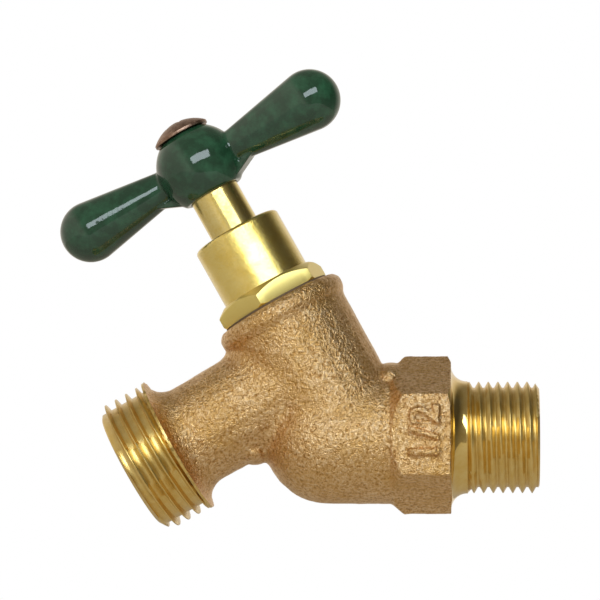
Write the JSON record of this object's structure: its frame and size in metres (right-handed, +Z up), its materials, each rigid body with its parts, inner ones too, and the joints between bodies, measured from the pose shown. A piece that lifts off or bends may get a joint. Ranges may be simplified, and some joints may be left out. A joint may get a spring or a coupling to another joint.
{
  "type": "hose bibb",
  "caption": "Angled hose bibb: bronze body, bonnet and rising stem with a tee handle, threaded inlet with wrench hexagon, hose-threaded spout.",
  "frame": {"origin": "centre of the inlet's end face, which is screwed into the wall fitting", "axes": "+X out of the inlet towards the supply pipe, +Z up; the stem leans back 29.4 degrees from +Z towards -X, and the spout points down and away along -X and -Z; the object is symmetric about the XZ plane apart from the turn of the handle"},
  "size_m": [0.0914, 0.0268, 0.0862],
  "materials": {
    "cast_bronze": "sand-cast bronze, coarse bright grain, machined threads",
    "turned_brass": "turned brass, satin",
    "gasket_fibre": "compressed fibre",
    "seal_rubber": "moulded rubber",
    "green_enamel": "glossy dark green enamel on die-cast metal",
    "bronzed_screw": "dull bronze plating"
  },
  "bodies": {
    "body": {"valve_body": "cast_bronze", "bonnet": "turned_brass", "bonnet_gasket": "gasket_fibre", "stem_o_ring_upper": "seal_rubber", "stem_o_ring_lower": "seal_rubber"},
    "seat_disc": {"seat_washer": "seal_rubber"},
    "spindle": {"stem": "turned_brass", "washer_screw": "turned_brass", "handle": "green_enamel", "handle_screw": "bronzed_screw"}
  },
  "joints": [
    {"name": "stem_lift", "type": "slide", "parent": "body", "child": "seat_disc", "axis": [-0.4909, 0, 0.8712], "range_m": [-0.00509, 0.00242]},
    {"name": "handle_turn", "type": "hinge", "parent": "seat_disc", "child": "spindle", "pos_m": [-0.04194, 0, 0.01196], "axis": [-0.4909, 0, 0.8712], "range_deg": [-720, 342]}
  ],
  "couplings": [
    {"joint": "stem_lift", "follows": "handle_turn", "m_per_rad": 0.00040425}
  ]
}
